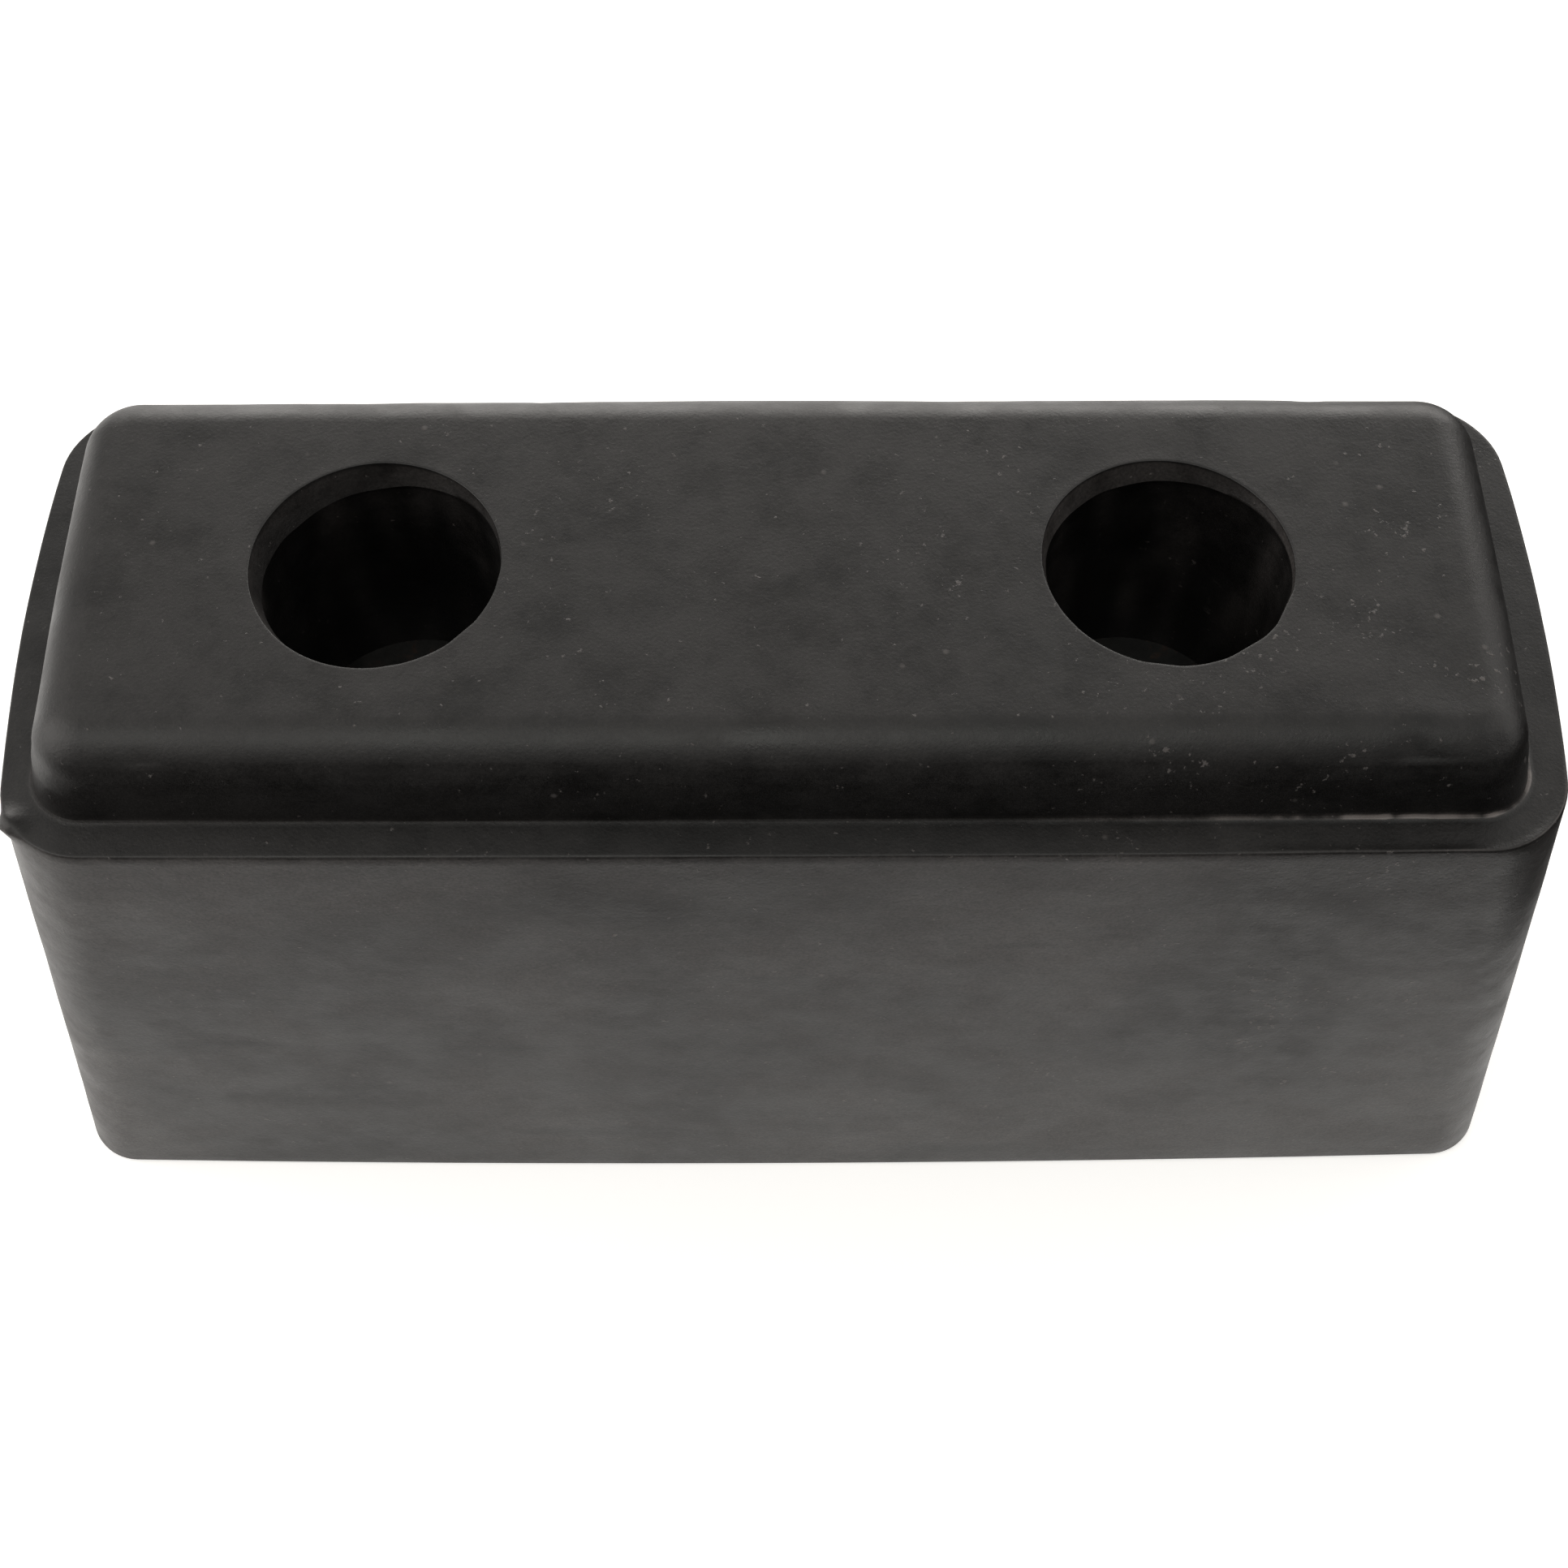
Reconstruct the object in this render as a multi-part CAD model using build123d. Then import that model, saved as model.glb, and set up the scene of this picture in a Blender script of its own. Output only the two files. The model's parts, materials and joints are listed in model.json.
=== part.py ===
from build123d import *
import os

# Moulded rubber dock bumper, bolted on through two deep counterbored holes. Millimetres.
# X runs along the block, Y across it, and Z from the mounting face (z = 0) up to the strike
# face, the flat top of the nose. The origin is the middle of the mounting face.

# The body is widest at the mounting face and tapers evenly to the rim of the ledge.
BASE_LENGTH = 270.0
BASE_WIDTH = 110.0
SIDE_TAPER = 10.0
BODY_HEIGHT = 104.5
BASE_CORNER_RADIUS = 9.0
RIM_CORNER_RADIUS = 13.0

# The nose stands on the body, one ledge width in from the rim all round, and draws in towards
# its top. The mould half that forms it sits slightly to the left of the body's.
LEDGE_WIDTH = 6.65
NOSE_HEIGHT = 15.5
NOSE_END_TAPER = 3.4
NOSE_SIDE_TAPER = 2.25
NOSE_ROOT_CORNER_RADIUS = 8.5
NOSE_TOP_CORNER_RADIUS = 8.2
NOSE_SHIFT = -0.6

# The moulding's ends and sides bow outwards a little between their corners.
BASE_END_BOW = 2.0
BASE_SIDE_BOW = 1.5
RIM_END_BOW = 2.8
RIM_SIDE_BOW = 0.3
NOSE_END_BOW = 0.5
NOSE_SIDE_BOW = 0.3

# Rounded edges
BASE_EDGE_RADIUS = 1.0
RIM_EDGE_RADIUS = 1.5
NOSE_EDGE_RADIUS = 8.6

# Two bolt holes in a row. The pair sits a little to the left of the body's middle.
HOLE_PITCH = 126.0
HOLE_PAIR_SHIFT = -2.0
COUNTERBORE_DIAMETER = 40.0
COUNTERBORE_DEPTH = 51.0
BOLT_HOLE_DIAMETER = 18.0

# Moulded-in steel: a bar that the bolt heads seat on, and a spacer tube under each seat
PLATE_LENGTH = 210.0
PLATE_WIDTH = 60.0
PLATE_THICKNESS = 8.0
PLATE_CORNER_RADIUS = 8.0
SLEEVE_DIAMETER = 28.0

TOTAL_HEIGHT = BODY_HEIGHT + NOSE_HEIGHT
RIM_LENGTH = BASE_LENGTH - 2 * SIDE_TAPER
RIM_WIDTH = BASE_WIDTH - 2 * SIDE_TAPER
NOSE_LENGTH = RIM_LENGTH - 2 * LEDGE_WIDTH
NOSE_WIDTH = RIM_WIDTH - 2 * LEDGE_WIDTH
SEAT_Z = TOTAL_HEIGHT - COUNTERBORE_DEPTH
PLATE_UNDERSIDE_Z = SEAT_Z - PLATE_THICKNESS
HOLE_X = {
    "left": HOLE_PAIR_SHIFT - HOLE_PITCH / 2,
    "right": HOLE_PAIR_SHIFT + HOLE_PITCH / 2,
}


def bowed_outline(length, width, corner_radius, end_bow, side_bow):
    """Rounded rectangle whose four sides bow outwards as shallow arcs."""
    x, y = length / 2, width / 2
    corner_x, corner_y = x - end_bow, y - side_bow
    front = ThreePointArc((-corner_x, -corner_y), (0, -y), (corner_x, -corner_y))
    right = ThreePointArc((corner_x, -corner_y), (x, 0), (corner_x, corner_y))
    back = ThreePointArc((corner_x, corner_y), (0, y), (-corner_x, corner_y))
    left = ThreePointArc((-corner_x, corner_y), (-x, 0), (-corner_x, -corner_y))
    outline = make_face([front, right, back, left])
    return fillet(outline.vertices(), corner_radius)


def upright_cylinder(diameter, low_z, high_z, x):
    """Cylinder between two heights, on the block's middle plane."""
    column = Cylinder(diameter / 2, high_z - low_z, align=(Align.CENTER, Align.CENTER, Align.MIN))
    return Pos(x, 0, low_z) * column


def plate_blank():
    """The steel bar before its holes are cut, which is also its pocket in the rubber."""
    outline = RectangleRounded(PLATE_LENGTH, PLATE_WIDTH, PLATE_CORNER_RADIUS)
    return extrude(Pos(0, 0, PLATE_UNDERSIDE_Z) * outline, PLATE_THICKNESS)


def make_body():
    """Tapered body up to the ledge, with its rim and bottom edges rounded."""
    base = bowed_outline(
        BASE_LENGTH, BASE_WIDTH, BASE_CORNER_RADIUS, BASE_END_BOW, BASE_SIDE_BOW
    )
    rim = bowed_outline(RIM_LENGTH, RIM_WIDTH, RIM_CORNER_RADIUS, RIM_END_BOW, RIM_SIDE_BOW)
    body = loft([base, Pos(0, 0, BODY_HEIGHT) * rim], ruled=True)
    body = fillet(body.faces().sort_by(Axis.Z)[-1].edges(), RIM_EDGE_RADIUS)
    return fillet(body.faces().sort_by(Axis.Z)[0].edges(), BASE_EDGE_RADIUS)


def make_nose():
    """Low tapered nose with a generously rounded top edge, standing on the body."""
    root = bowed_outline(
        NOSE_LENGTH, NOSE_WIDTH, NOSE_ROOT_CORNER_RADIUS, NOSE_END_BOW, NOSE_SIDE_BOW
    )
    top = bowed_outline(
        NOSE_LENGTH - 2 * NOSE_END_TAPER,
        NOSE_WIDTH - 2 * NOSE_SIDE_TAPER,
        NOSE_TOP_CORNER_RADIUS,
        NOSE_END_BOW,
        NOSE_SIDE_BOW,
    )
    place = Pos(NOSE_SHIFT, 0, BODY_HEIGHT)
    nose = loft([place * root, place * Pos(0, 0, NOSE_HEIGHT) * top], ruled=True)
    return fillet(nose.faces().sort_by(Axis.Z)[-1].edges(), NOSE_EDGE_RADIUS)


def make_rubber_block():
    """One moulding: body, ledge and nose, cut by the holes and filled by the steel."""
    block = make_body() + make_nose() - plate_blank()
    for x in HOLE_X.values():
        block -= upright_cylinder(COUNTERBORE_DIAMETER, SEAT_Z, TOTAL_HEIGHT, x)
        block -= upright_cylinder(SLEEVE_DIAMETER, 0, PLATE_UNDERSIDE_Z, x)
    return block


def make_reinforcement_plate():
    """Flat steel bar with a bolt hole under each counterbore."""
    plate = plate_blank()
    for x in HOLE_X.values():
        plate -= upright_cylinder(BOLT_HOLE_DIAMETER, PLATE_UNDERSIDE_Z, SEAT_Z, x)
    return plate


def make_bolt_sleeve(x):
    """Steel tube that holds the plate off the mounting face under bolt load."""
    tube = upright_cylinder(SLEEVE_DIAMETER, 0, PLATE_UNDERSIDE_Z, x)
    return tube - upright_cylinder(BOLT_HOLE_DIAMETER, 0, PLATE_UNDERSIDE_Z, x)


def main():
    os.makedirs("parts", exist_ok=True)
    export_step(make_rubber_block(), "parts/rubber_block.step")
    export_step(make_reinforcement_plate(), "parts/reinforcement_plate.step")
    for side, x in HOLE_X.items():
        export_step(make_bolt_sleeve(x), f"parts/{side}_bolt_sleeve.step")


main()
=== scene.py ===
import json
import math

import bmesh
import bpy
import numpy as np
from mathutils import Matrix, Vector, geometry, noise


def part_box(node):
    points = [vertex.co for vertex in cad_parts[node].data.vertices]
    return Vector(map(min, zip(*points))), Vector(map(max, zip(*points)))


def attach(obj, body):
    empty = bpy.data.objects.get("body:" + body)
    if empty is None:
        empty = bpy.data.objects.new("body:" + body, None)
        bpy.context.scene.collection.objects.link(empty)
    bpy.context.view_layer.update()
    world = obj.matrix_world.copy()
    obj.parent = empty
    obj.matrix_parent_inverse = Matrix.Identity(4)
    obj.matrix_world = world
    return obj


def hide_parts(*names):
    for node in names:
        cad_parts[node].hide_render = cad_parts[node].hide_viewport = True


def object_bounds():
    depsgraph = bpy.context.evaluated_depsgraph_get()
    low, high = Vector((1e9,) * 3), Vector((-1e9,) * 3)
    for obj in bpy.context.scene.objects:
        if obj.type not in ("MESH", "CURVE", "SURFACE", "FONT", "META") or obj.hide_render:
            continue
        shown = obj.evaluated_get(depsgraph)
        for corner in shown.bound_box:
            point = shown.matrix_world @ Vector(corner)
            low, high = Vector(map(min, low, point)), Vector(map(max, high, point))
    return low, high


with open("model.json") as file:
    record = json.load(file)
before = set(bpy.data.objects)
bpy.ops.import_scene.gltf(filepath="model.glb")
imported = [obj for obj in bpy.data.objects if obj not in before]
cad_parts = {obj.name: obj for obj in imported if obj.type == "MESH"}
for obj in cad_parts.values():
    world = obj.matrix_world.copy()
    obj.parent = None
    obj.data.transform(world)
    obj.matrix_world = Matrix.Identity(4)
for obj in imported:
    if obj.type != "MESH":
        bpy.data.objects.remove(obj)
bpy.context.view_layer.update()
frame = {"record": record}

# Moulded rubber dock bumper: one rubber block with a steel bar and two steel tubes moulded in.
# Shapes are worked out in millimetres, and made into objects in metres at the end.
# X runs along the block, Y across it and Z up from the mounting face.

MM = 0.001

# ---------------------------------------------------------------- driving sizes, in millimetres

BODY_HEIGHT = 104.5
RIM_EDGE_RADIUS = 0.45
BASE_EDGE_RADIUS = 1.0
NOSE_EDGE_RADIUS = 8.6
NOSE_SHIFT = -0.6

# Outlines: length, width, corner radius, bow of the ends, bow of the sides
BASE_OUTLINE = np.array([270.0, 110.0, 9.0, 2.0, 1.5])
RIM_OUTLINE = np.array([250.0, 90.0, 13.0, 2.8, 0.3])
NOSE_ROOT_OUTLINE = np.array([236.7, 76.7, 8.5, 0.5, 0.3])
NOSE_TOP_OUTLINE = np.array([229.9, 72.2, 8.2, 0.5, 0.3])

# The nose's rounded edge begins at this tilt in degrees, between its ends' and its sides' draft.
NOSE_DRAFT = 10.0
PLATE_CORNER_RADIUS = 8.0

# What an inset of one millimetre takes off an outline
SHRINK = np.array([2.0, 2.0, 1.0, 0.0, 0.0])

# Points round an outline: along a long side, along a short side, round a corner
LONG_SIDE_POINTS = 144
SHORT_SIDE_POINTS = 54
CORNER_POINTS = 14
HOLE_POINTS = 132

# Rings up each stretch of the rubber's skin
WALL_RINGS = 62
BASE_EDGE_RINGS = 5
RIM_EDGE_RINGS = 6
NOSE_WALL_RINGS = 6
NOSE_EDGE_RINGS = 19
BORE_RINGS = 26
POCKET_RINGS = 8

# Spacing of the points inside each flat face
TOP_SPACING = 2.0
BASE_SPACING = 3.0
POCKET_SPACING = 7.0
PLATE_SPACING = 5.0

# Dust and painted shading on each stretch: 0 is clean rubber, 1 a dusty wall, and more than 1 is
# caked on a flash line. Part of each value is painted shading for how light falls on that face: the
# walls are set paler, and the nose's wall, the ledge and the strike face darker.
WALL_DUST_AND_SHADING = 1.0
BASE_DUST = 0.6
TOP_DUST_AND_SHADING = 0.25
NOSE_DUST_AND_SHADING = 0.2
LEDGE_DUST_AND_SHADING = 0.2
CAKED_DUST = 2.6


def in_mm(corner):
    """A place given in metres, in millimetres."""
    return np.array(corner) / MM


def mount(name):
    """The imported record's mount of that name."""
    return next(m for m in frame["record"]["mounts"] if m["name"] == name)


PLATE_LOW, PLATE_HIGH = (in_mm(corner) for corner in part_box("reinforcement_plate"))
SLEEVE_LOW, SLEEVE_HIGH = (in_mm(corner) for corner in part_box("left_bolt_sleeve"))
TOP_Z = in_mm(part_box("rubber_block")[1])[2]
SLEEVE_RADIUS = (SLEEVE_HIGH[0] - SLEEVE_LOW[0]) / 2
BOLT_HOLE_RADIUS = mount("left_bolt_hole")["dims"]["r_mm"]
COUNTERBORE_RADIUS = mount("left_counterbore")["dims"]["r_mm"]
HOLE_X = {side: mount(side + "_counterbore")["pos_m"][0] / MM for side in ("left", "right")}


# ---------------------------------------------------------------- small helpers


def smooth_step(value, low, high):
    """0 below low, 1 above high, and a smooth climb between them."""
    t = np.clip((value - low) / (high - low), 0.0, 1.0)
    return t * t * (3 - 2 * t)


def bump(value, centre, width):
    """1 at the centre, falling away smoothly on both sides over about the width."""
    return np.exp(-(((value - centre) / width) ** 2))


def noise_at(points, size, offset=0.0):
    """Smooth noise from about -1 to 1 at each point, with features of about that size."""
    shift = Vector((offset, 2.3 * offset, -1.7 * offset))
    return np.array([noise.noise(Vector(p) / size + shift) for p in points])


def outline(shape, shift=0.0):
    """Points of a rounded rectangle whose sides bow outwards, anticlockwise from the front left."""
    length, width, radius, end_bow, side_bow = shape
    half_x, half_y = length / 2, width / 2
    corners = [
        ((half_x - radius, -half_y + radius), -90, LONG_SIDE_POINTS),
        ((half_x - radius, half_y - radius), 0, SHORT_SIDE_POINTS),
        ((-half_x + radius, half_y - radius), 90, LONG_SIDE_POINTS),
        ((-half_x + radius, -half_y + radius), 180, SHORT_SIDE_POINTS),
    ]
    points = []
    last = np.array([-half_x + radius, -half_y])
    for centre, start, side_points in corners:
        turn = np.radians(start + np.linspace(0, 90, CORNER_POINTS + 1))
        arc = np.array(centre) + radius * np.column_stack([np.cos(turn), np.sin(turn)])
        along = np.linspace(0, 1, side_points, endpoint=False)[:, None]
        points.append(last + along * (arc[0] - last))
        points.append(arc[:-1])
        last = arc[-1]
    x, y = np.vstack(points).T
    bowed_x = x * (1 - end_bow / half_x * (y / half_y) ** 2)
    bowed_y = y * (1 - side_bow / half_y * (x / half_x) ** 2)
    return np.column_stack([bowed_x + shift, bowed_y])


def circle(x, radius, count=HOLE_POINTS):
    """Points of a circle about (x, 0), and their angles. The radius may differ at each point."""
    angle = np.linspace(0, 2 * math.pi, count, endpoint=False)
    radius = np.broadcast_to(radius, angle.shape)
    return np.column_stack([x + radius * np.cos(angle), radius * np.sin(angle)]), angle


def arc_steps(count):
    """Sine and cosine pairs of a quarter turn cut into equal steps, both ends included."""
    turn = np.linspace(0, math.pi / 2, count)
    return list(zip(np.sin(turn), np.cos(turn)))


# Rows of a staggered grid are this many spacings apart, as in equal-sided triangles, and its
# points stay this many spacings clear of any edge.
ROW_STEP = 0.866
CLEARANCE = 0.6

# Faces that meet at a larger angle than this, in degrees, are shaded with a sharp edge.
SHARP_ANGLE = 50


class Skin:
    """Points, faces and a dust-and-shading value per point, gathered ring by ring into one closed
    mesh.
    """

    def __init__(self):
        self.points = []
        self.dust_and_shading = []
        self.faces = []

    def ring(self, flat, z, dust_and_shading=0.0):
        """Adds a closed ring of points at that height, and gives their numbers."""
        first = len(self.points)
        heights = np.broadcast_to(z, len(flat))
        self.points += [(x, y, h) for (x, y), h in zip(flat, heights)]
        self.dust_and_shading += list(np.broadcast_to(dust_and_shading, len(flat)))
        return list(range(first, len(self.points)))

    def band(self, one, other):
        """Joins two rings of the same length with a strip of quads."""
        for i in range(len(one)):
            j = (i + 1) % len(one)
            self.faces.append((one[i], one[j], other[j], other[i]))

    def strip(self, rings):
        """Joins each ring to the next."""
        for one, other in zip(rings, rings[1:]):
            self.band(one, other)

    def fill(self, border, holes, spacing, dust_and_shading=0.0):
        """Fills the flat space inside a border ring and outside the hole rings with triangles."""
        height = self.points[border[0]][2]
        edge = np.array([self.points[i][:2] for i in border])
        rings = [np.array([self.points[i][:2] for i in hole]) for hole in holes]
        inner = self._inner_points(edge, rings, spacing)
        inner_numbers = self.ring(inner, height, dust_and_shading)
        numbers = list(border) + [i for hole in holes for i in hole] + inner_numbers
        flat = [Vector(self.points[i][:2]) for i in numbers]
        loops = [len(border)] + [len(hole) for hole in holes]
        edges, start = [], 0
        for size in loops:
            edges += [(start + i, start + (i + 1) % size) for i in range(size)]
            start += size
        flat, _, triangles, origin, _, _ = geometry.delaunay_2d_cdt(flat, edges, [], 0, 1e-6)
        for triangle in triangles:
            middle = sum((flat[i] for i in triangle), Vector((0, 0))) / 3
            if not any(inside(middle, ring) for ring in rings):
                self.faces.append(tuple(numbers[origin[i][0]] for i in triangle))

    def _inner_points(self, edge, rings, spacing):
        """A staggered grid of points, kept clear of the border and the holes."""
        low, high = edge.min(axis=0), edge.max(axis=0)
        rows = np.arange(low[1], high[1], spacing * ROW_STEP)
        grid = []
        for number, y in enumerate(rows):
            start = low[0] + (number % 2) * spacing / 2
            grid += [(x, y) for x in np.arange(start, high[0], spacing)]
        clear = CLEARANCE * spacing
        kept = []
        for point in grid:
            gap = min(np.hypot(*(loop - point).T).min() for loop in [edge] + rings)
            outside_holes = not any(inside(point, ring) for ring in rings)
            if gap > clear and inside(point, edge) and outside_holes:
                kept.append(point)
        return np.array(kept)


def inside(point, loop):
    """True if a flat point lies inside a convex loop that runs anticlockwise."""
    after = np.roll(loop, -1, axis=0) - loop
    to_point = np.array(point[:2]) - loop
    return bool(np.all(after[:, 0] * to_point[:, 1] - after[:, 1] * to_point[:, 0] > 0))


def make_object(name, skin, material, body="root"):
    """Turns a skin into a smooth-shaded object in metres that rides on a body."""
    mesh = bpy.data.meshes.new(name)
    mesh.from_pydata([Vector(p) * MM for p in skin.points], [], skin.faces)
    solid = bmesh.new()
    solid.from_mesh(mesh)
    bmesh.ops.recalc_face_normals(solid, faces=solid.faces)
    solid.to_mesh(mesh)
    solid.free()
    # The dust attribute holds dust and painted shading: each face of the block is made paler or
    # darker for how light falls on it.
    dust_and_shading = mesh.attributes.new("dust_and_shading", "FLOAT", "POINT")
    dust_and_shading.data.foreach_set("value", np.array(skin.dust_and_shading, dtype=np.float32))
    mesh.shade_smooth()
    mesh.set_sharp_from_angle(angle=math.radians(SHARP_ANGLE))
    mesh.materials.append(material)
    piece = bpy.data.objects.new(name, mesh)
    bpy.context.scene.collection.objects.link(piece)
    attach(piece, body)
    return piece


# ---------------------------------------------------------------- the rubber block


def body_outline(height, inset=0.0):
    """The tapered body's outline at a height, drawn in by an inset."""
    share = height / BODY_HEIGHT
    shape = BASE_OUTLINE + (RIM_OUTLINE - BASE_OUTLINE) * share
    return outline(shape - inset * SHRINK)


def nose_outline(height):
    """The tapered nose's outline at a height, below its rounded edge."""
    share = (height - BODY_HEIGHT) / (TOP_Z - BODY_HEIGHT)
    shape = NOSE_ROOT_OUTLINE + (NOSE_TOP_OUTLINE - NOSE_ROOT_OUTLINE) * share
    return outline(shape, NOSE_SHIFT)


def nose_edge_outline(turn):
    """The outline and height of the nose's rounded edge where its normal is tilted up by turn."""
    draft = np.arctan((NOSE_ROOT_OUTLINE - NOSE_TOP_OUTLINE)[:2] / 2 / (TOP_Z - BODY_HEIGHT))
    inset = NOSE_EDGE_RADIUS * (np.tan(math.pi / 4 - draft / 2) - math.cos(turn))
    shrink = np.array([2 * inset[0], 2 * inset[1], inset.mean(), 0.0, 0.0])
    height = TOP_Z - NOSE_EDGE_RADIUS * (1 - math.sin(turn))
    return outline(NOSE_TOP_OUTLINE - shrink, NOSE_SHIFT), height


# Heights of the flash lines: the root's grows by the second height towards the front, and by
# the third towards the front right. The nose's wall is clear of it at ABOVE_FLASH.
RIM_FLASH_HEIGHT = 0.4
ROOT_FLASH_BACK = 0.08
ROOT_FLASH_FRONT = 0.04
ROOT_FLASH_FRONT_RIGHT = 0.3
ABOVE_FLASH = 0.9

# How the rim's flash fades over the ledge: share of the ledge's width, and share of its height
RIM_FLASH_FADE = ((0.05, 0.85), (0.12, 0.4), (0.22, 0.1), (0.35, 0.0), (0.5, 0.0), (0.7, 0.0))

# The section of the root's flash: gap to the nose, and share of its height
ROOT_FLASH_SECTION = ((1.3, 0.0), (0.8, 0.12), (0.5, 0.75), (0.3, 1.0), (0.1, 0.9), (0.0, 0.75))

# The rim's edge takes this much off the wall's dust and painted shading, on its way to the ledge's,
# and its flash catches this much more dust per millimetre of height.
RIM_EDGE_DARKENING = 0.8
FLASH_CATCH = 3.5


def rim_flash(flat):
    """Height of the soft flash line along the rim: it shows at the front right."""
    x, y = flat.T
    front_right = smooth_step(x, 60, 100) * smooth_step(-y, 25, 38)
    uneven = 0.75 + 0.5 * noise_at(np.column_stack([x, y, 0 * x]), 9, 3)
    return RIM_FLASH_HEIGHT * front_right * uneven


def root_flash(flat):
    """Height of the thin flash line at the nose's foot, strongest at the front right."""
    x, y = flat.T
    front = smooth_step(-y, 15, 30)
    uneven = 0.75 + 0.5 * noise_at(np.column_stack([x, y, 0 * x]), 3, 5)
    front_height = ROOT_FLASH_FRONT + ROOT_FLASH_FRONT_RIGHT * smooth_step(x, 45, 112)
    return (ROOT_FLASH_BACK + front * front_height) * uneven


def add_walls(skin):
    """The base edge and the tapered walls, up to the rim. Gives the base ring and the top ring."""
    rings = []
    for sine, cosine in arc_steps(BASE_EDGE_RINGS):
        inset, z = BASE_EDGE_RADIUS * (1 - sine), BASE_EDGE_RADIUS * (1 - cosine)
        rings.append(skin.ring(body_outline(z, inset), z, BASE_DUST))
    top = BODY_HEIGHT - RIM_EDGE_RADIUS
    for z in np.linspace(BASE_EDGE_RADIUS, top, WALL_RINGS)[1:]:
        rings.append(skin.ring(body_outline(z), z, WALL_DUST_AND_SHADING))
    for sine, cosine in arc_steps(RIM_EDGE_RINGS)[1:]:
        flat = body_outline(BODY_HEIGHT, RIM_EDGE_RADIUS * (1 - cosine))
        lip = rim_flash(flat) * sine
        dust_and_shading = WALL_DUST_AND_SHADING - RIM_EDGE_DARKENING * sine + FLASH_CATCH * lip * (sine > 0.8)
        rings.append(skin.ring(flat, top + RIM_EDGE_RADIUS * sine + lip, dust_and_shading))
    skin.strip(rings)
    return rings[0], rings[-1]


def add_ledge(skin, rim_ring):
    """The flat ledge and the flash line at the nose's foot. Gives the ring at the foot."""
    outer = body_outline(BODY_HEIGHT, RIM_EDGE_RADIUS)
    foot = nose_outline(BODY_HEIGHT)
    reach = np.hypot(*(foot - outer).T)[:, None]
    rings = [rim_ring]
    lip = rim_flash(outer)
    to_right = smooth_step(outer[:, 0], 30, 105) * smooth_step(-outer[:, 1], 15, 38)
    dust_and_shading = LEDGE_DUST_AND_SHADING + 0.25 * to_right
    beaded = 0.6 + 0.7 * noise_at(np.column_stack([foot, 0 * foot[:, 0]]), 1.6, 8)
    caked = CAKED_DUST * to_right * np.clip(beaded, 0, 1)
    for share, fade in RIM_FLASH_FADE:
        flat = outer + (foot - outer) * share
        rings.append(skin.ring(flat, BODY_HEIGHT + lip * fade, dust_and_shading))
    bead = root_flash(foot)
    for gap, rise in ROOT_FLASH_SECTION:
        flat = foot - (foot - outer) * gap / reach
        dust_and_shading = 0.15 + (0.25 + caked) * (rise > 0.5)
        rings.append(skin.ring(flat, BODY_HEIGHT + bead * rise, dust_and_shading))
    skin.strip(rings)
    return rings[-1]


def add_nose(skin, foot_ring):
    """The nose's wall and its large rounded edge. Gives the ring at the edge of its flat top."""
    rings = [foot_ring]
    turns = np.radians(np.linspace(NOSE_DRAFT, 90, NOSE_EDGE_RINGS))
    first_bend = nose_edge_outline(turns[0])[1]
    for z in np.linspace(BODY_HEIGHT + ABOVE_FLASH, first_bend, NOSE_WALL_RINGS)[:-1]:
        rings.append(skin.ring(nose_outline(z), z, NOSE_DUST_AND_SHADING))
    for turn in turns:
        flat, z = nose_edge_outline(turn)
        dust_and_shading = NOSE_DUST_AND_SHADING + (TOP_DUST_AND_SHADING - NOSE_DUST_AND_SHADING) * math.sin(turn) ** 2
        rings.append(skin.ring(flat, z, dust_and_shading))
    skin.strip(rings)
    return rings[-1]


# Each counterbore's mouth was trimmed with a knife, which left a thin collar of rubber standing
# in a little from the wall. Each cut is a straight chord: its angle and its distance from the
# hole's middle. Angles are in degrees, anticlockwise from +X.
# Each collar is painted paler than the strike face: the paler cut rubber, and painted light for the
# lit band just inside the mouth.
TRIMMED_MOUTHS = {
    "left": {
        "cuts": ((281, 19.92), (317, 19.86), (350, 19.95)),
        "collar_depth": 4.9,
        "collar_inset": 1.9,
        "collar_dust_and_light": 0.7,
        "deepest_at": 138,
        "noise_offset": 11.0,
    },
    "right": {
        "cuts": ((262, 19.92), (303, 19.84), (333, 19.8)),
        "collar_depth": 3.3,
        "collar_inset": 1.3,
        "collar_dust_and_light": 1.1,
        "deepest_at": 112,
        "noise_offset": 29.0,
    },
}


# The flat rubber round a mouth is drawn in rings at these gaps from the plain bore.
MOUTH_GAPS = (6.0, 4.2, 2.9, 2.0, 1.3, 0.8, 0.45)

# The cut's sharp lip: gap outside the cut, and drop below the strike face
LIP_DROP = 0.15
LIP_STEPS = ((0.12, 0.01), (0.03, 0.05), (0.0, LIP_DROP))

# Rings down the collar's slope, as shares of its depth
COLLAR_SHARES = (0.15, 0.32, 0.5, 0.68, 0.85, 1.0)

# The undercut below the collar: share of the way back to the bore, and drop below the collar
UNDERCUT_DROP = 1.2
UNDERCUT_STEPS = ((0.05, 0.12), (0.45, 0.22), (1.0, 0.5), (1.0, UNDERCUT_DROP))

# Dust on the lip, and dust and painted shade under the collar
LIP_DUST = 0.1
UNDERCUT_DUST_AND_SHADE = 0.05

# A streak down a counterbore's wall is this share of its length wide.
STREAK_SQUEEZE = 0.2


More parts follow.
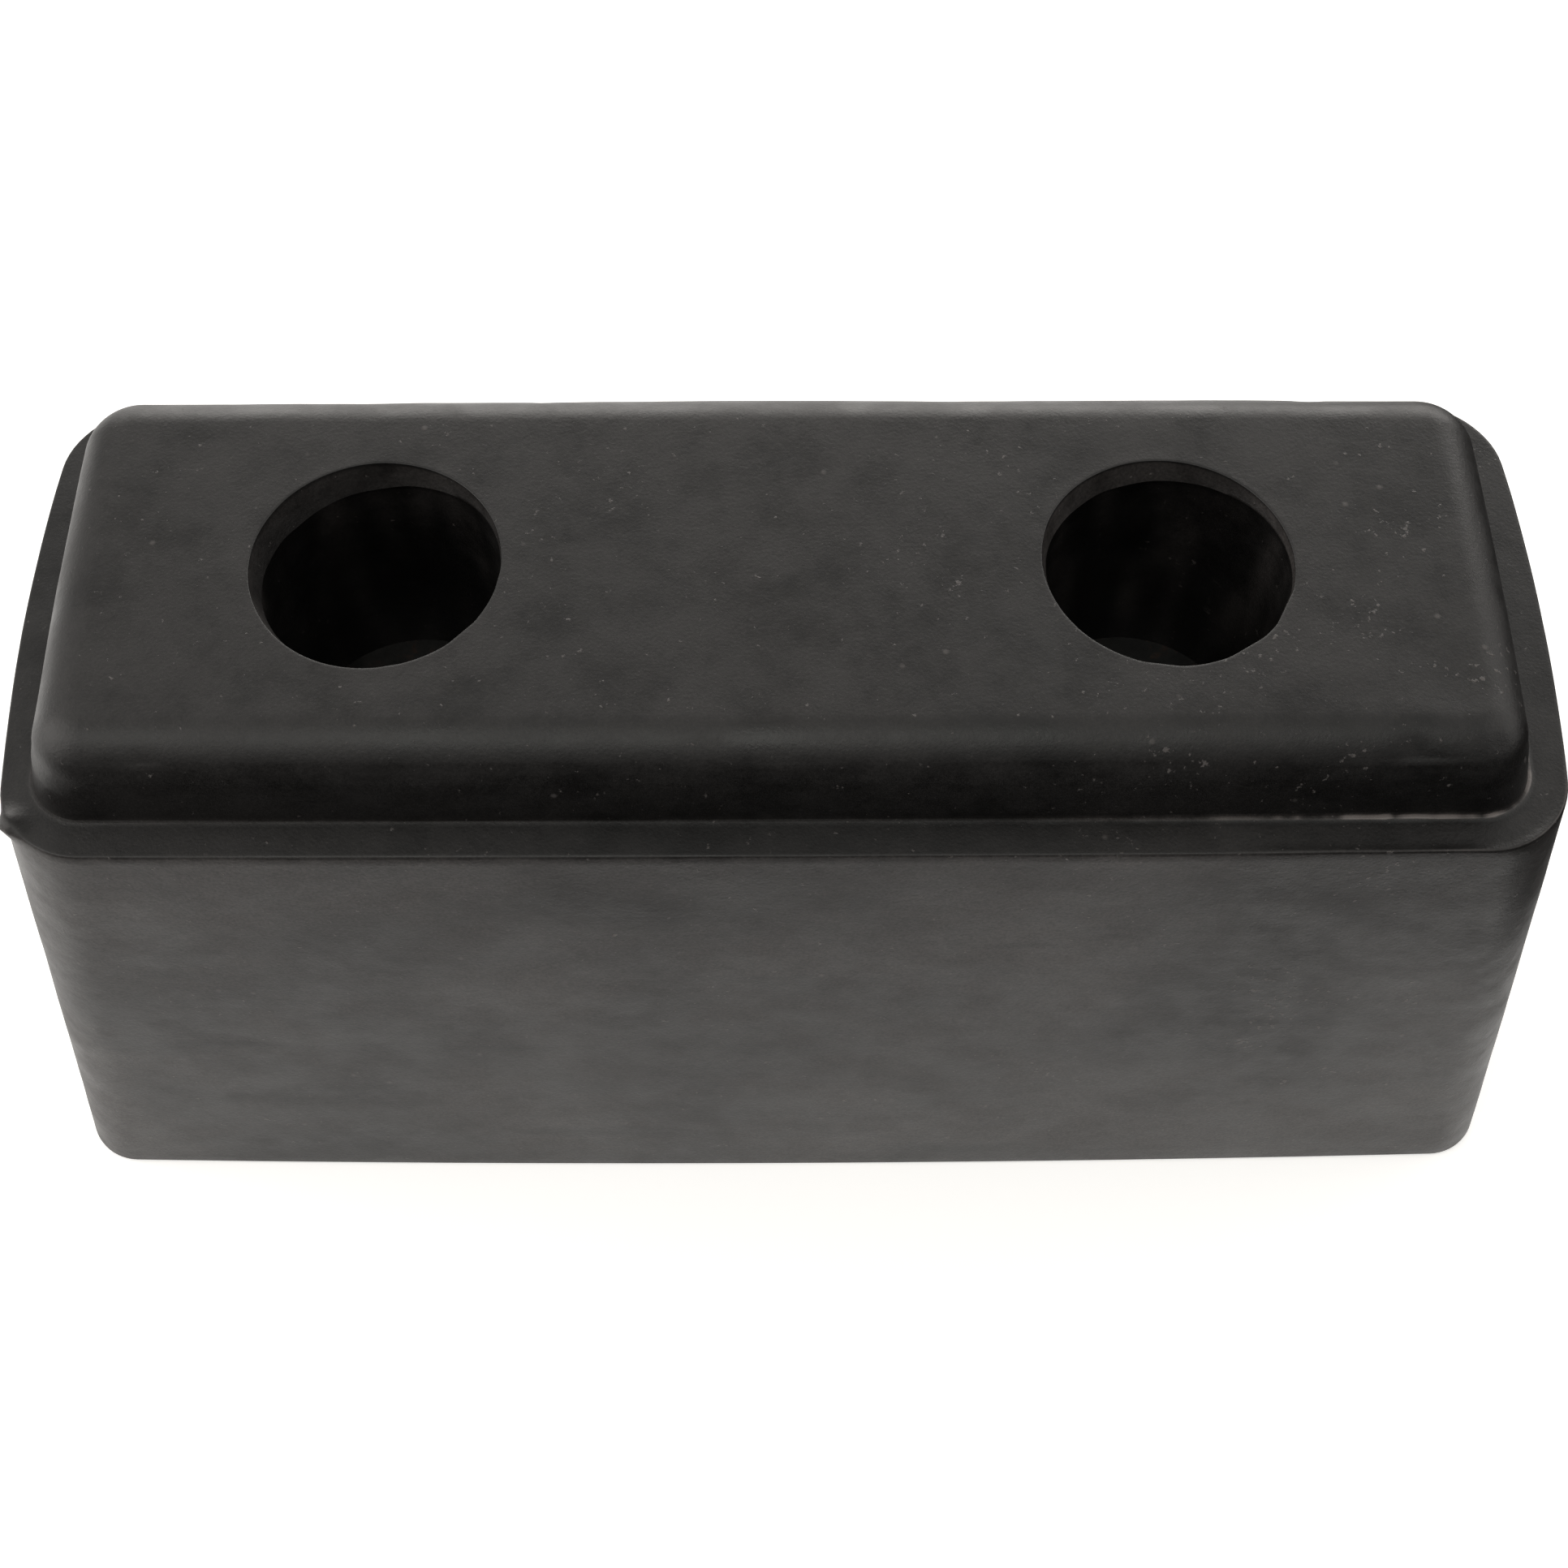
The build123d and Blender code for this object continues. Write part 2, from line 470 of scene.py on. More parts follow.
def trimmed_mouth(cut, angle, coarse, rough):
    """At each angle: the mouth's radius, and how deep and how far in its collar reaches."""
    mouth = np.full_like(angle, COUNTERBORE_RADIUS + 0.05) + 0.12 * coarse + 0.05 * rough
    for degrees, distance in cut["cuts"]:
        across = np.cos(angle - math.radians(degrees))
        chord = np.minimum(mouth, distance / np.maximum(across, 0.1))
        mouth = np.where(across > 0.85, chord, mouth)
    facing = 0.5 + 0.5 * np.cos(angle - math.radians(cut["deepest_at"]))
    depth = 0.6 + cut["collar_depth"] * facing**1.3 + (0.5 * coarse + 0.25 * rough) * facing
    inset = cut["collar_inset"] * facing**1.2 + (0.2 * coarse + 0.12 * rough) * facing
    return mouth, depth, inset


def add_counterbore(skin, side):
    """One counterbore, from its mouth down to the seat. Gives the outermost and lowest rings."""
    x, cut = HOLE_X[side], TRIMMED_MOUTHS[side]
    _, angle = circle(x, 1.0)
    round_about = np.column_stack([np.cos(angle), np.sin(angle), 0 * angle])
    rough = noise_at(round_about * 20, 5, cut["noise_offset"])
    coarse = noise_at(round_about * 20, 16, cut["noise_offset"] + 4)
    mouth, depth, inset = trimmed_mouth(cut, angle, coarse, rough)
    rings = []
    for gap in MOUTH_GAPS:
        ease = smooth_step(gap, 6.5, 1.5)
        flat, _ = circle(x, COUNTERBORE_RADIUS + gap + (mouth - COUNTERBORE_RADIUS) * ease)
        rings.append(skin.ring(flat, TOP_Z, TOP_DUST_AND_SHADING))
    for gap, drop in LIP_STEPS:
        rings.append(skin.ring(circle(x, mouth + gap)[0], TOP_Z - drop, LIP_DUST))
    for share in COLLAR_SHARES:
        flat, _ = circle(x, mouth - inset * share**1.3)
        # Painted light on the collar: it is made paler where the mouth's far wall is lit.
        dust_and_shading = np.maximum(cut["collar_dust_and_light"] * (1 - 0.4 * share + 0.5 * coarse), 0)
        rings.append(skin.ring(flat, TOP_Z - LIP_DROP - (depth - LIP_DROP) * share, dust_and_shading))
    for back, drop in UNDERCUT_STEPS:
        flat, _ = circle(x, mouth - inset + (inset + 0.25) * back)
        # Painted shade under the collar, where the undercut lies in shadow.
        rings.append(skin.ring(flat, TOP_Z - depth - drop, UNDERCUT_DUST_AND_SHADE))
    floor = PLATE_HIGH[2]
    for share in np.linspace(0, 1, BORE_RINGS)[1:]:
        z = TOP_Z - depth - UNDERCUT_DROP + (floor - TOP_Z + depth + UNDERCUT_DROP) * share
        wander = 0.22 * (1 - share) + 0.06 * coarse * (1 - share)
        on_wall = round_about * COUNTERBORE_RADIUS
        on_wall[:, 2] = z * STREAK_SQUEEZE
        streaks = np.clip(0.25 + 0.8 * noise_at(on_wall, 5, cut["noise_offset"] + 9), 0, 1)
        rings.append(skin.ring(circle(x, COUNTERBORE_RADIUS + wander)[0], z, streaks))
    skin.strip(rings)
    return rings[0], rings[-1]


def add_steel_pocket(skin, seat_rings):
    """The space that the bar and tubes fill. Gives the ring at each tube's foot."""
    length, width = (PLATE_HIGH - PLATE_LOW)[:2]
    flat = outline(np.array([length, width, PLATE_CORNER_RADIUS, 0.0, 0.0]))
    roof = skin.ring(flat, PLATE_HIGH[2])
    floor = skin.ring(flat, PLATE_LOW[2])
    skin.band(roof, floor)
    skin.fill(roof, seat_rings, POCKET_SPACING)
    tube_tops, tube_feet = [], []
    for x in HOLE_X.values():
        wall, _ = circle(x, SLEEVE_RADIUS)
        rings = [skin.ring(wall, z) for z in np.linspace(SLEEVE_HIGH[2], 0, POCKET_RINGS)]
        skin.strip(rings)
        tube_tops.append(rings[0])
        tube_feet.append(rings[-1])
    skin.fill(floor, tube_tops, POCKET_SPACING)
    return tube_feet


# Small dents in the nose's front edge, in millimetres: place, radius and depth
DENTS = (
    ((96.6, -34.2, 117.6), 2.6, 0.5),
    ((108.3, -32.6, 117.0), 2.2, 0.45),
    ((99.5, -35.2, 116.0), 1.4, 0.3),
    ((-98.0, -35.0, 116.5), 1.8, 0.25),
    ((24.0, -35.4, 115.5), 1.5, 0.2),
    ((103.0, -24.0, 120.0), 5.0, 0.25),
    ((-117.2, 20.0, 110.0), 2.0, 0.3),
    ((88.0, 36.0, 116.0), 2.0, 0.3),
    ((-40.0, 36.0, 116.0), 1.7, 0.25),
)

# The nub of flash left where the mould halves met, at the front left of the rim
NUB_PLACE = np.array([-121.6, -39.6, 103.6])
NUB_RADIUS = 2.3
NUB_HEIGHT = 1.7

# Shallow moulding waves: height, size of a feature and noise offset, in millimetres
WAVES = ((0.32, 55, 1), (0.1, 17, 2), (0.03, 5, 3))

# Waves and dents reach the walls and the strike face, and stop short of the holes and the foot.
# None stands higher above the strike face than HIGHEST_WAVE.
OUTSIDE_X = 106
OUTSIDE_Y = 36
HIGHEST_WAVE = 0.6

# Large soft patches in the rubber's bloom, in millimetres: place, half sizes and strength. Some are
# painted light: the pale strip at the foot of the front paints the floor's reflected light, the
# pale patches along the nose's front edge brighten its highlight, and the pale patch at the front
# left corner paints its highlight. A patch above 0 is paler and one below 0 is darker. Noise moves
# their edges by up to the wander.
PATCH_WANDER = 5.0
PATCHES = (
    ((-88, -52, 26), (25, 5, 2.6), -1.0),
    ((-68, -52, 30), (9, 5, 3.0), -0.7),
    ((-84, -54, 9), (34, 5, 2.0), -0.6),
    ((-82, -50, 47), (9, 6, 9), 0.7),
    ((-98, -49, 70), (22, 6, 14), -0.45),
    ((-31, -46, 92), (12, 6, 5), -0.8),
    ((-22, -48, 66), (9, 6, 16), -0.5),
    ((-12, -52, 26), (16, 5, 5), -0.4),
    ((4, -48, 78), (26, 6, 10), 0.35),
    ((20, -50, 55), (16, 6, 14), 0.3),
    ((49, -49, 62), (12, 6, 16), 0.75),
    ((74, -49, 60), (13, 6, 15), -0.7),
    ((82, -46, 86), (7, 6, 9), -1.0),
    ((72, -52, 34), (14, 6, 6), 0.6),
    ((88, -52, 44), (10, 6, 12), -0.5),
    ((112, -48, 82), (6, 8, 12), -0.7),
    ((110, -53, 20), (12, 6, 12), 0.4),
    ((28, -54, 6), (12, 5, 4), -0.8),
    # Painted light: a pale strip along the foot of the front, for the floor's reflected light
    # there.
    ((0, -54, 10), (60, 5, 3), 0.3),
    # Painted highlight: the pale patches along the nose's front edge brighten its highlight.
    ((-4, -31, 119), (24, 4, 4), 0.7),
    ((36, -31, 119), (9, 4, 5), -0.7),
    ((70, -31, 118), (22, 4, 4), 0.55),
    ((-70, -31, 119), (26, 4, 4), 0.3),
    ((-40, -26, 120), (60, 3, 3), -0.35),
    ((99, -22, 120), (4, 4, 4), -0.7),
    ((95, -50, 62), (38, 8, 50), -0.7),
    ((-80, -50, 60), (42, 8, 45), -0.3),
    # Painted highlight on the lower part of the front left corner.
    ((-128, -48, 22), (9, 12, 36), 1.6),
)


def patches_at(points):
    """How much paler or darker the patches make each point, with their edges broken up by noise."""
    wander = np.column_stack([noise_at(points, 9, 40 + k) for k in range(3)])
    moved = points + wander * PATCH_WANDER
    total = np.zeros(len(points))
    for place, size, strength in PATCHES:
        away = np.linalg.norm((moved - np.array(place)) / np.array(size), axis=1)
        total += strength * bump(away, 0.0, 1.0)
    return total


def press_and_swell(piece):
    """Moves the block's outer points along their normals: moulding waves, dents and the nub."""
    mesh = piece.data
    points = np.array([v.co for v in mesh.vertices]) / MM
    normals = np.array([v.normal for v in mesh.vertices])
    height = points[:, 2]
    from_holes = np.min([np.hypot(points[:, 0] - x, points[:, 1]) for x in HOLE_X.values()], axis=0)
    past_side = (np.abs(points[:, 1]) > OUTSIDE_Y) | (np.abs(points[:, 0]) > OUTSIDE_X)
    on_outside = past_side | (height > TOP_Z - 4)
    weight = on_outside * smooth_step(height, 0.5, 6.0)
    weight = weight * smooth_step(from_holes, COUNTERBORE_RADIUS + 1.0, COUNTERBORE_RADIUS + 6.0)
    move = np.sum([high * noise_at(points, size, offset) for high, size, offset in WAVES], axis=0)
    for place, radius, depth in DENTS:
        away = np.linalg.norm(points - np.array(place), axis=1)
        move -= depth * bump(away, 0.0, radius)
    nearest = points[np.argmin(np.linalg.norm(points - NUB_PLACE, axis=1))]
    away = np.linalg.norm(points - nearest, axis=1)
    move += NUB_HEIGHT * bump(away, 0.0, NUB_RADIUS)
    points += normals * (move * weight)[:, None]
    points[:, 2] = np.clip(points[:, 2], 0, TOP_Z + HIGHEST_WAVE)
    mesh.vertices.foreach_set("co", (points * MM).astype(np.float32).ravel())
    mesh.update()
    patches = mesh.attributes.new("patches", "FLOAT", "POINT")
    patches.data.foreach_set("value", patches_at(points).astype(np.float32))


def make_rubber_block():
    """The whole moulding as one closed mesh."""
    skin = Skin()
    base_ring, rim_ring = add_walls(skin)
    foot_ring = add_ledge(skin, rim_ring)
    top_ring = add_nose(skin, foot_ring)
    mouths, seats = zip(*(add_counterbore(skin, side) for side in HOLE_X))
    skin.fill(top_ring, mouths, TOP_SPACING, TOP_DUST_AND_SHADING)
    tube_feet = add_steel_pocket(skin, seats)
    skin.fill(base_ring, tube_feet, BASE_SPACING, BASE_DUST)
    block = make_object("moulded_rubber_block", skin, rubber_material())
    press_and_swell(block)
    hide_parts("rubber_block")


# ---------------------------------------------------------------- the moulded-in steel

PLATE_EDGE_RADIUS = 0.9
PLATE_EDGE_RINGS = 5
PLATE_HOLE_CHAMFER = 0.5
TUBE_CHAMFER = 0.7


def make_plate():
    """The bar that the bolt heads seat on: rolled edges and two drilled holes."""
    skin = Skin()
    length, width = (PLATE_HIGH - PLATE_LOW)[:2]
    shape = np.array([length, width, PLATE_CORNER_RADIUS, 0.0, 0.0])
    low, high, r = PLATE_LOW[2], PLATE_HIGH[2], PLATE_EDGE_RADIUS
    rings = []
    for sine, cosine in arc_steps(PLATE_EDGE_RINGS):
        rings.append(skin.ring(outline(shape - r * (1 - sine) * SHRINK), low + r * (1 - cosine)))
    for sine, cosine in arc_steps(PLATE_EDGE_RINGS):
        rings.append(skin.ring(outline(shape - r * (1 - cosine) * SHRINK), high - r * (1 - sine)))
    skin.strip(rings)
    tops, bottoms = [], []
    for x in HOLE_X.values():
        steps = ((PLATE_HOLE_CHAMFER, high), (0.0, high - PLATE_HOLE_CHAMFER))
        steps += ((0.0, low + PLATE_HOLE_CHAMFER), (PLATE_HOLE_CHAMFER, low))
        holes = [skin.ring(circle(x, BOLT_HOLE_RADIUS + wider)[0], z) for wider, z in steps]
        skin.strip(holes)
        tops.append(holes[0])
        bottoms.append(holes[-1])
    skin.fill(rings[-1], tops, PLATE_SPACING)
    skin.fill(rings[0], bottoms, PLATE_SPACING)
    plate = make_object("steel_plate", skin, coated_steel_material("plate_steel", 0.0))
    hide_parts("reinforcement_plate")


def make_sleeve(side):
    """A spacer tube with its ends chamfered inside and out."""
    skin = Skin()
    x, low, high, c = HOLE_X[side], SLEEVE_LOW[2], SLEEVE_HIGH[2], TUBE_CHAMFER
    outer, inner = SLEEVE_RADIUS, BOLT_HOLE_RADIUS
    profile = [(outer - c, low), (outer, low + c), (outer, high - c), (outer - c, high)]
    profile += [(inner + c, high), (inner, high - c)]
    profile += [(inner, z) for z in np.linspace(high - c, low + c, 12)[1:]]
    profile += [(inner + c, low), ((inner + outer) / 2, low)]
    rings = [skin.ring(circle(x, radius)[0], z) for radius, z in profile]
    skin.strip(rings + rings[:1])
    sleeve = make_object(side + "_steel_sleeve", skin, coated_steel_material("sleeve_steel", 1.0))
    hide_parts(side + "_bolt_sleeve")


# ---------------------------------------------------------------- materials


class Shader:
    """A material's node tree, with short calls for the few kinds of node used here."""

    def __init__(self, name):
        self.material = bpy.data.materials.new(name)
        self.material.use_nodes = True
        self.nodes = self.material.node_tree.nodes
        self.links = self.material.node_tree.links
        self.surface = self.nodes["Principled BSDF"]
        self.place = self.nodes.new("ShaderNodeTexCoord").outputs["Object"]

    def put(self, value, socket):
        """Sets a socket to a number or colour, or links another socket to it."""
        if isinstance(value, bpy.types.NodeSocket):
            self.links.new(value, socket)
        else:
            socket.default_value = value

    def stretched(self, size, turn=(0, 0, 0), shift=(0, 0, 0)):
        """Object coordinates in which a cell is that many millimetres along X, Y and Z."""
        mapping = self.nodes.new("ShaderNodeMapping")
        self.links.new(self.place, mapping.inputs["Vector"])
        mapping.inputs["Rotation"].default_value = [math.radians(a) for a in turn]
        mapping.inputs["Scale"].default_value = [1 / (s * MM) for s in size]
        mapping.inputs["Location"].default_value = shift
        return mapping.outputs["Vector"]

    def clouds(self, size, detail=4.0, roughness=0.55, **place):
        """Noise from 0 to 1 whose features are about that many millimetres along X, Y and Z."""
        texture = self.nodes.new("ShaderNodeTexNoise")
        self.links.new(self.stretched(size, **place), texture.inputs["Vector"])
        texture.inputs["Scale"].default_value = 1.0
        texture.inputs["Detail"].default_value = detail
        texture.inputs["Roughness"].default_value = roughness
        return texture.outputs["Fac"]

    def grains(self, size, shift=(0, 0, 0)):
        """Voronoi cells of that size: the distance to each centre, and a random value per cell."""
        texture = self.nodes.new("ShaderNodeTexVoronoi")
        self.links.new(self.stretched((size,) * 3, shift=shift), texture.inputs["Vector"])
        texture.inputs["Scale"].default_value = 1.0
        apart = self.nodes.new("ShaderNodeSeparateColor")
        self.links.new(texture.outputs["Color"], apart.inputs["Color"])
        return texture.outputs["Distance"], apart.outputs["Red"]

    def ramp(self, value, low, high, start=0.0, end=1.0):
        """Takes low..high to start..end with a smooth climb, and holds it outside."""
        node = self.nodes.new("ShaderNodeMapRange")
        node.interpolation_type = "SMOOTHSTEP"
        for name, number in (("Value", value), ("From Min", low), ("From Max", high)):
            self.put(number, node.inputs[name])
        self.put(start, node.inputs["To Min"])
        self.put(end, node.inputs["To Max"])
        return node.outputs["Result"]

    def combine(self, operation, one, other):
        """A two-way calculation: ADD, MULTIPLY, SUBTRACT, MAXIMUM and so on."""
        node = self.nodes.new("ShaderNodeMath")
        node.operation = operation
        self.put(one, node.inputs[0])
        self.put(other, node.inputs[1])
        return node.outputs["Value"]

    def product(self, *values):
        """All the values multiplied together."""
        result = values[0]
        for value in values[1:]:
            result = self.combine("MULTIPLY", result, value)
        return result

    def mix(self, share, one, other):
        """From one colour to the other by a share."""
        node = self.nodes.new("ShaderNodeMix")
        node.data_type = "RGBA"
        self.put(share, node.inputs["Factor"])
        self.put(one, node.inputs["A"])
        self.put(other, node.inputs["B"])
        return node.outputs["Result"]

    def relief(self, height, depth, below=None):
        """A bump of that depth in millimetres, on top of another bump if one is given."""
        node = self.nodes.new("ShaderNodeBump")
        node.inputs["Strength"].default_value = 1.0
        node.inputs["Distance"].default_value = depth * MM
        self.links.new(height, node.inputs["Height"])
        if below is not None:
            self.links.new(below, node.inputs["Normal"])
        return node.outputs["Normal"]

    def attribute(self, name):
        """A value stored per point of the mesh."""
        node = self.nodes.new("ShaderNodeAttribute")
        node.attribute_name = name
        return node.outputs["Fac"]

    def where(self, axis):
        """The X, Y or Z place in metres."""
        apart = self.nodes.new("ShaderNodeSeparateXYZ")
        self.links.new(self.place, apart.inputs["Vector"])
        return apart.outputs[axis]


def grey(level, warmth=0.06):
    """A slightly warm grey: level is the linear green value."""
    return (level * (1 + warmth), level, level * (1 - warmth), 1.0)


# Rubber: its pale bloom's colour, and its reflectance where the dust and painted shading are least
# (clean rubber, painted darkest) and where they stand at a wall's (dusty, painted paler), and how
# much a speck or caked dust adds
WARM_WHITE = (1.0, 0.89, 0.85, 1.0)
CLEAN_AND_DARK_RUBBER = 0.004
DUSTY_AND_PALE_RUBBER = 0.024
SPECK_LEVEL = 0.085
CAKED_LEVEL = 0.14
RUBBER_ROUGHNESS = (0.38, 0.54)
RUBBER_IOR = 1.5

# How much the bloom, with the painted-light patches in it, and the smears multiply the reflectance
# by, from least to most
BLOOM_AND_SHADING_RANGE = (0.45, 1.65)
SMEAR_RANGE = (1.0, 0.6)
GRIT_RANGE = (0.75, 1.25)

# Relief in the rubber, in millimetres
GRAIN_DEPTH = 0.05
PIT_DEPTH = 0.06
LINE_DEPTH = 0.008
SPECK_DEPTH = 0.06


def rubber_bloom_and_shading(s, dust_and_shading):
    """Soft clouds, wider than tall, that lighten the dustier and painted-paler faces, with smears,
    grit and soft patches, some of them painted light.
    """
    patches = s.attribute("patches")
    broad = s.clouds((62, 62, 34), 5, 0.6)
    small = s.clouds((12, 12, 9), 8, 0.7)
    fine = s.clouds((2.6, 2.6, 2.6), 5, 0.7, shift=(1, 6, 3))
    cloudy = s.combine("ADD", s.product(broad, 0.5), s.product(small, 0.35))
    cloudy = s.combine("ADD", cloudy, s.product(fine, 0.15))
    cloudy = s.combine("ADD", cloudy, s.product(patches, 0.12))
    bloom_and_shading = s.ramp(cloudy, 0.32, 0.68)
    smears = s.clouds((70, 70, 8), 6, 0.62, shift=(3, 1, 7))
    smudge = s.product(s.ramp(smears, 0.55, 0.75), dust_and_shading)
    level = s.ramp(dust_and_shading, 0.0, 1.0, CLEAN_AND_DARK_RUBBER, DUSTY_AND_PALE_RUBBER)
    clouded = s.ramp(bloom_and_shading, 0.0, 1.0, *BLOOM_AND_SHADING_RANGE)
    level = s.product(level, clouded, s.ramp(smudge, 0.0, 1.0, *SMEAR_RANGE))
    grit = s.clouds((0.5, 0.5, 0.5), 2, 0.6, shift=(7, 3, 9))
    level = s.product(level, s.ramp(grit, 0.3, 0.7, *GRIT_RANGE))
    return s.combine("ADD", level, s.ramp(dust_and_shading, 1.0, 2.4, 0.0, CAKED_LEVEL)), small


def rubber_specks(s, dust_and_shading):
    """Pale dust caught in the surface as flecks and dots, thicker towards the right end."""
    spotty = s.clouds((26, 26, 26), 4, 0.65, shift=(9, 4, 2))
    to_right = s.ramp(s.where("X"), 0.0, 0.115, 0.35, 1.0)
    crowd = s.product(s.ramp(spotty, 0.45, 0.68), to_right)
    ragged = s.clouds((1.3, 1.3, 1.3), 3, 0.6, shift=(8, 2, 6))
    rarest = s.ramp(crowd, 0.0, 1.0, 0.68, 0.57)
    flecks = s.ramp(s.combine("SUBTRACT", ragged, rarest), 0.0, 0.09)
    far, chance = s.grains(6.0, shift=(3, 5, 2))
    dots = s.product(
        s.ramp(far, 0.02, 0.12, 1.0, 0.0),
        s.combine("LESS_THAN", chance, s.combine("ADD", s.product(crowd, 0.4), 0.12)),
    )
    speck = s.combine("MAXIMUM", s.product(flecks, 0.75), s.product(dots, 0.5))
    return s.product(speck, s.ramp(dust_and_shading, 0.0, 0.3, 0.15, 1.0))


def rubber_relief(s, speck):
    """Skin grain, shallow pits, mould polish lines, and the specks standing proud."""
    grain = s.clouds((0.55, 0.55, 0.55), 3, 0.6)
    pits = s.clouds((3.2, 3.2, 3.2), 4, 0.6, shift=(2, 2, 5))
    lines = s.clouds((40, 40, 0.9), 3, 0.5, shift=(5, 8, 1))
    normal = s.relief(grain, GRAIN_DEPTH)
    normal = s.relief(pits, PIT_DEPTH, normal)
    normal = s.relief(lines, LINE_DEPTH, normal)
    return s.relief(speck, SPECK_DEPTH, normal)


def rubber_material():
    """Matte black moulded rubber with bloom, smears, dust specks, painted shading face by face and
    a fine skin grain.
    """
    s = Shader("matte_moulded_rubber")
    # Dust and painted shading per point: paler walls and a darker nose wall stand in for how light
    # falls.
    dust_and_shading = s.attribute("dust_and_shading")
    level, small_clouds = rubber_bloom_and_shading(s, dust_and_shading)
    speck = rubber_specks(s, dust_and_shading)
    level = s.combine("ADD", level, s.product(speck, SPECK_LEVEL))
    s.put(s.mix(level, grey(0.0), WARM_WHITE), s.surface.inputs["Base Color"])
    dull = s.ramp(small_clouds, 0.3, 0.7, *RUBBER_ROUGHNESS)
    dull = s.combine("ADD", dull, s.product(speck, 0.2))
    s.put(dull, s.surface.inputs["Roughness"])
    s.surface.inputs["IOR"].default_value = RUBBER_IOR
    s.put(rubber_relief(s, speck), s.surface.inputs["Normal"])
    return s.material


# Steel: its rust's colour, how high up a tube its bare foot reaches in metres, and the angle of
# the saw marks there in degrees
RUST = (0.05, 0.022, 0.012, 1.0)
BARE_HEIGHT = 0.0012
SAW_ANGLE = 24


def coated_steel_material(name, bright_foot):
    """Steel under a dark bonding coat, worn to bare metal where it was sawn at its foot."""
    s = Shader(name + "_coated")
    patchy = s.clouds((9, 9, 9), 5, 0.6)
    fine = s.clouds((0.8, 0.8, 0.8), 3, 0.6)
    coat = s.mix(s.ramp(patchy, 0.35, 0.65), grey(0.004, 0.03), grey(0.014, 0.08))
    rust = s.ramp(s.clouds((5, 5, 5), 5, 0.65, shift=(4, 4, 4)), 0.56, 0.68)
    coat = s.mix(s.product(rust, 0.5), coat, RUST)
    foot = s.product(s.ramp(s.where("Z"), 0.0, BARE_HEIGHT, 1.0, 0.0), bright_foot)
    bare = s.product(foot, s.ramp(patchy, 0.3, 0.5, 0.55, 1.0))
    saw = s.clouds((30, 0.35, 30), 3, 0.6, turn=(0, 0, SAW_ANGLE))
    metal = s.mix(s.ramp(saw, 0.3, 0.7), grey(0.3, 0.03), grey(0.5, 0.02))
    s.put(s.mix(bare, coat, metal), s.surface.inputs["Base Color"])
    s.put(bare, s.surface.inputs["Metallic"])
    s.put(s.ramp(fine, 0.3, 0.7, 0.38, 0.55), s.surface.inputs["Roughness"])
    normal = s.relief(fine, 0.03)
    normal = s.relief(s.product(saw, bare), 0.05, normal)
    s.put(normal, s.surface.inputs["Normal"])
    return s.material


# The studio below is in metres.
STUDIO_WHITE = (1.0, 0.98, 0.955, 1.0)
FLOOR_GLOW = 0.5
FLOOR_HALF_WIDTH = 8.0
FLOOR_GAP = 0.0002


def floor_material():
    """A plain white light table: it glows a little, so the block's foot stays bright."""
    s = Shader("white_light_table")
    tone = s.clouds((400, 400, 400), 2, 0.5)
    s.put(s.mix(tone, (0.86, 0.86, 0.86, 1), (0.88, 0.88, 0.88, 1)), s.surface.inputs["Base Color"])
    s.surface.inputs["Roughness"].default_value = 0.9
    s.surface.inputs["Specular IOR Level"].default_value = 0.2
    s.surface.inputs["Emission Color"].default_value = STUDIO_WHITE
    s.surface.inputs["Emission Strength"].default_value = FLOOR_GLOW
    s.put(s.relief(s.clouds((2, 2, 2), 3), 0.02), s.surface.inputs["Normal"])
    return s.material


# ---------------------------------------------------------------- the studio


def make_floor():
    """A wide flat sheet just under the block."""
    half = FLOOR_HALF_WIDTH
    mesh = bpy.data.meshes.new("paper_floor")
    corners = [(-half, -half, 0), (half, -half, 0), (half, half, 0), (-half, half, 0)]
    mesh.from_pydata(corners, [], [(0, 1, 2, 3)])
    mesh.materials.append(floor_material())
    floor = bpy.data.objects.new("paper_floor", mesh)
    floor.location.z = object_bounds()[0][2] - FLOOR_GAP
    bpy.context.scene.collection.objects.link(floor)


LIGHT_AIM = (0, 0, 0.06)


def add_softbox(name, place, size, radiance, colour):
    """A rectangular soft light aimed at the block's middle, hidden from the camera itself."""
    data = bpy.data.lights.new(name, "AREA")
    data.shape = "RECTANGLE"
    data.size, data.size_y = size
    data.energy = radiance * math.pi * size[0] * size[1]
    data.color = colour
    light = bpy.data.objects.new(name, data)
    light.location = place
    aim = Vector(LIGHT_AIM) - Vector(place)
    light.rotation_euler = aim.to_track_quat("-Z", "Y").to_euler()
    light.visible_camera = False
    bpy.context.scene.collection.objects.link(light)


WORLD_STRENGTH = 0.3
TOP_LIGHT_COLOUR = (0.955, 0.965, 0.905)
SIDE_LIGHT_COLOUR = (1.0, 0.965, 0.925)

# Soft lights: place, size, radiance and colour
SOFTBOXES = {
    "overhead_softbox": ((-0.05, 0.35, 1.25), (1.5, 1.5), 0.14, TOP_LIGHT_COLOUR),
    "top_key": ((-0.1, -0.5, 1.4), (0.8, 0.7), 2.0, TOP_LIGHT_COLOUR),
    "back_softbox": ((0.15, 1.3, 0.5), (2.2, 0.7), 3.9, SIDE_LIGHT_COLOUR),
    "left_softbox": ((-1.2, -0.1, 0.8), (1.3, 1.3), 2.2, SIDE_LIGHT_COLOUR),
    "right_softbox": ((1.2, 0.1, 0.8), (1.3, 1.3), 1.0, SIDE_LIGHT_COLOUR),
}


